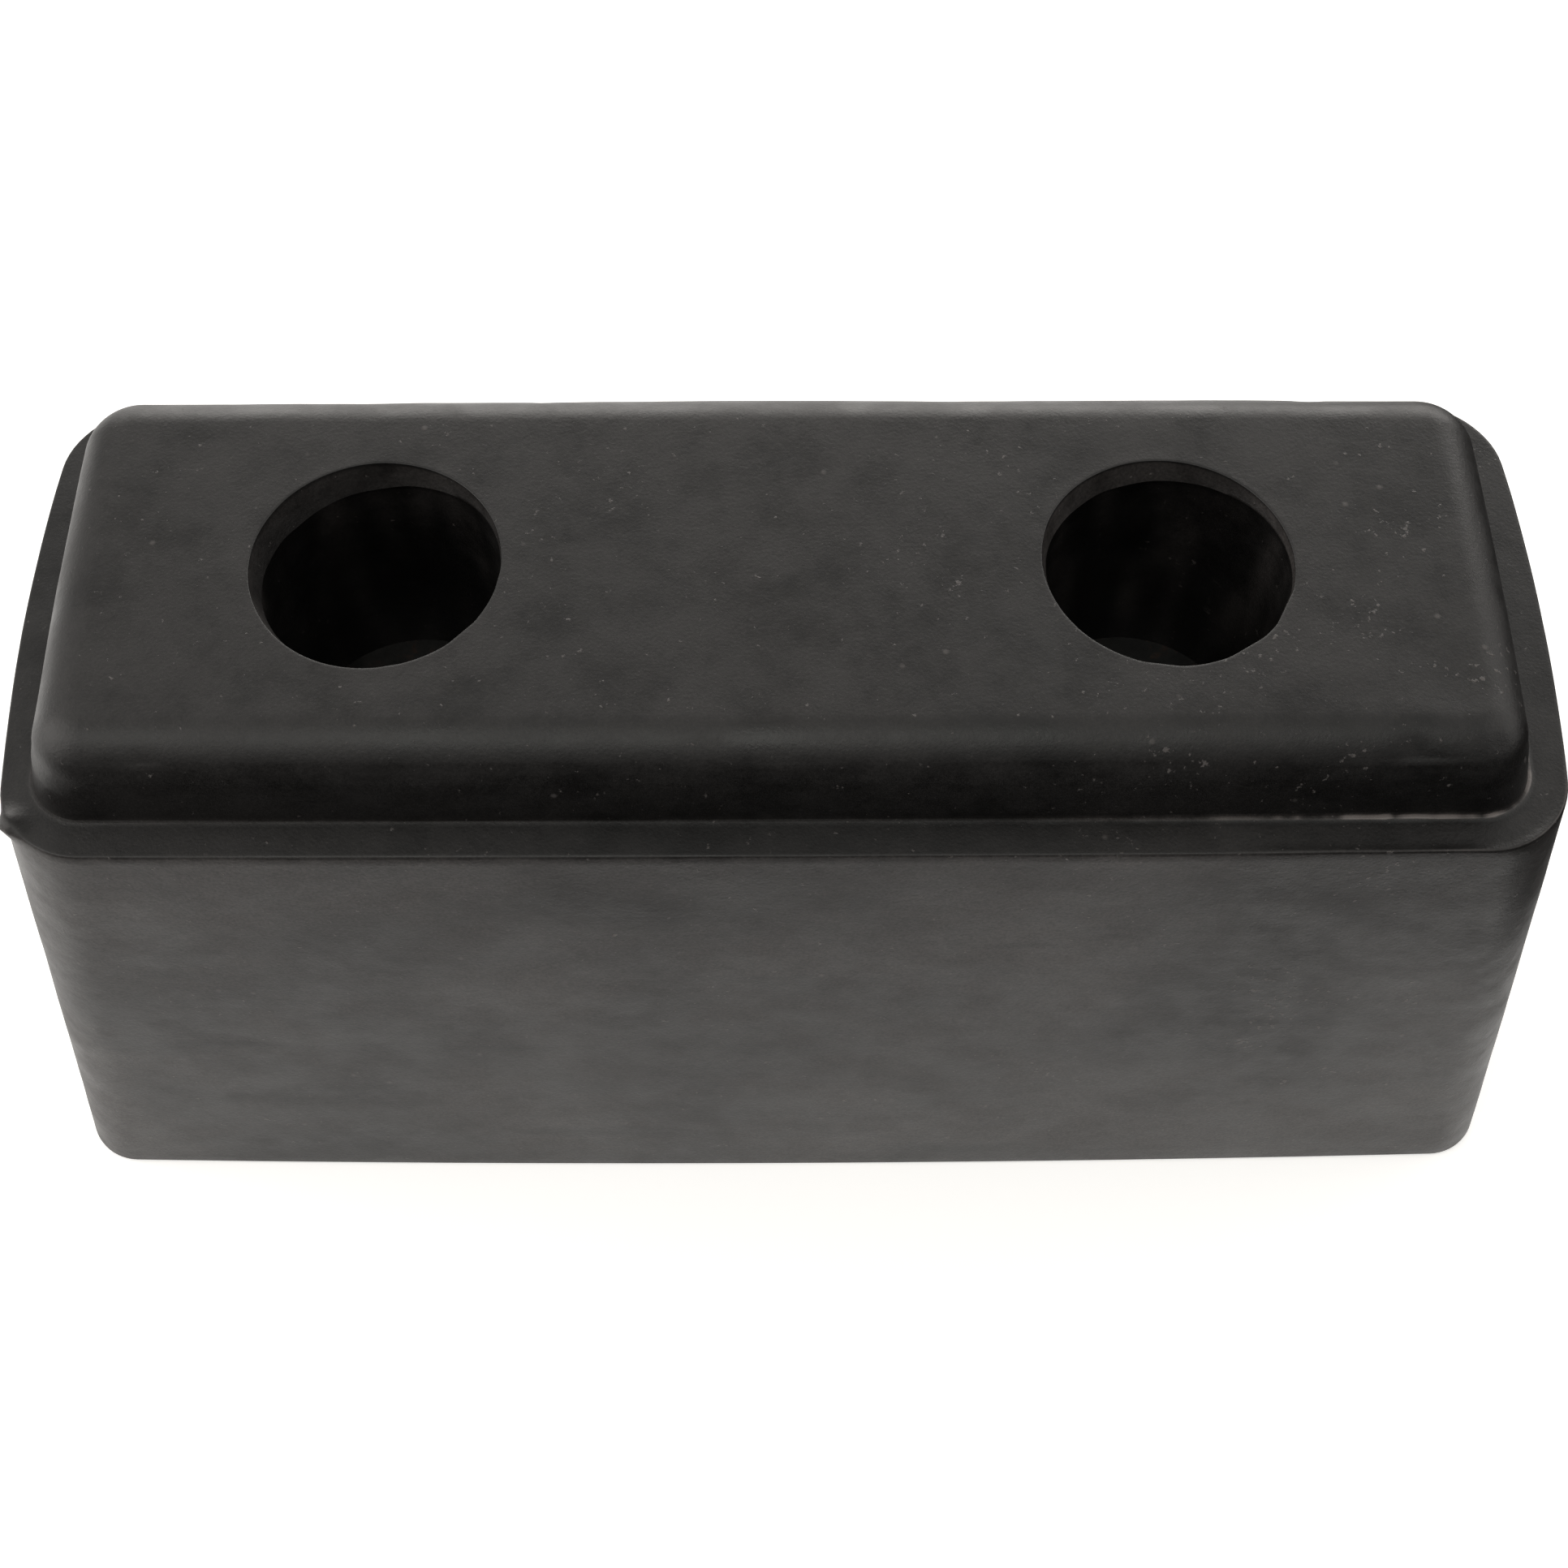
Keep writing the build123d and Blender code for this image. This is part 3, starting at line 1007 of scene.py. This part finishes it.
def light_scene():
    """Pale surroundings with large soft lights above, behind and at both sides."""
    world = bpy.data.worlds.new("pale_studio")
    world.use_nodes = True
    background = world.node_tree.nodes["Background"]
    background.inputs["Color"].default_value = STUDIO_WHITE
    background.inputs["Strength"].default_value = WORLD_STRENGTH
    bpy.context.scene.world = world
    for name, (place, size, radiance, colour) in SOFTBOXES.items():
        add_softbox(name, place, size, radiance, colour)
    bpy.context.scene.view_settings.view_transform = "Standard"


# Each card lies just above the floor from its near edge to its far edge, and stands up there.
# The two lifts differ, so that the sheets don't coincide where they cross.
CARD_NEAR_FRONT = -0.138
CARD_NEAR_RIGHT = 0.18
CARD_FAR = 0.9
FRONT_CARD_HIGH = 0.45
RIGHT_CARD_HIGH = 0.1
CARD_HALF_WIDTH = 2.0
FRONT_CARD_LIFT = 0.001
RIGHT_CARD_LIFT = 0.002


def make_dark_card(name, corners):
    """A black card seen only in reflections: a painted dark reflection, standing in for shade."""
    mesh = bpy.data.meshes.new(name)
    mesh.from_pydata(corners, [], [(0, 1, 3, 2), (2, 3, 5, 4)])
    black = Shader("painted_dark_reflection")
    black.put(grey(0.01, 0.0), black.surface.inputs["Base Color"])
    black.surface.inputs["Roughness"].default_value = 1.0
    black.surface.inputs["Specular IOR Level"].default_value = 0.0
    mesh.materials.append(black.material)
    card = bpy.data.objects.new(name, mesh)
    card.visible_camera = card.visible_diffuse = card.visible_shadow = False
    bpy.context.scene.collection.objects.link(card)


def make_dark_cards():
    """Black cards before and to the right of the block, seen only in reflections: painted dark
    reflections standing in for a dark room there, which darken the nose's reflections.
    """
    front = [
        (CARD_NEAR_FRONT, FRONT_CARD_LIFT),
        (-CARD_FAR, FRONT_CARD_LIFT),
        (-CARD_FAR, FRONT_CARD_HIGH),
    ]
    right = [
        (CARD_NEAR_RIGHT, RIGHT_CARD_LIFT),
        (CARD_FAR, RIGHT_CARD_LIFT),
        (CARD_FAR, RIGHT_CARD_HIGH),
    ]
    ends = (-CARD_HALF_WIDTH, CARD_HALF_WIDTH)
    # Painted dark reflections: these sheets are seen only in glossy reflections.
    make_dark_card("front_reflection_shade", [(end, y, z) for y, z in front for end in ends])
    make_dark_card("right_reflection_shade", [(x, end, z) for x, z in right for end in ends])


# Camera: above the front of the block and looking down at it. Angles are in degrees, and the
# lens and the sensor in millimetres.
CAMERA_PLACE = (-0.00193, -0.2134, 0.41104)
CAMERA_DOWN = 59.37
CAMERA_YAW = 0.54
CAMERA_ROLL = -0.25
CAMERA_LENS = 51.95
CAMERA_SENSOR = 36.0
NEAR_CLIP = 0.01


def add_camera():
    """The camera, turned by its downward tilt, its yaw to the right and its roll."""
    down, yaw, roll = (math.radians(a) for a in (CAMERA_DOWN, CAMERA_YAW, CAMERA_ROLL))
    ahead = Vector(
        (math.sin(yaw) * math.cos(down), math.cos(yaw) * math.cos(down), -math.sin(down))
    )
    level = Vector((math.cos(yaw), -math.sin(yaw), 0))
    below = ahead.cross(level)
    right = level * math.cos(roll) + below * math.sin(roll)
    up = -(below * math.cos(roll) - level * math.sin(roll))
    data = bpy.data.cameras.new("camera")
    data.lens = CAMERA_LENS
    data.sensor_width = CAMERA_SENSOR
    data.clip_start = NEAR_CLIP
    camera = bpy.data.objects.new("camera", data)
    turn = Matrix((right, up, -ahead)).transposed().to_4x4()
    camera.matrix_world = Matrix.Translation(CAMERA_PLACE) @ turn
    bpy.context.scene.collection.objects.link(camera)
    bpy.context.scene.camera = camera


add_camera()
make_rubber_block()
make_plate()
for side in HOLE_X:
    make_sleeve(side)
make_floor()
make_dark_cards()
light_scene()
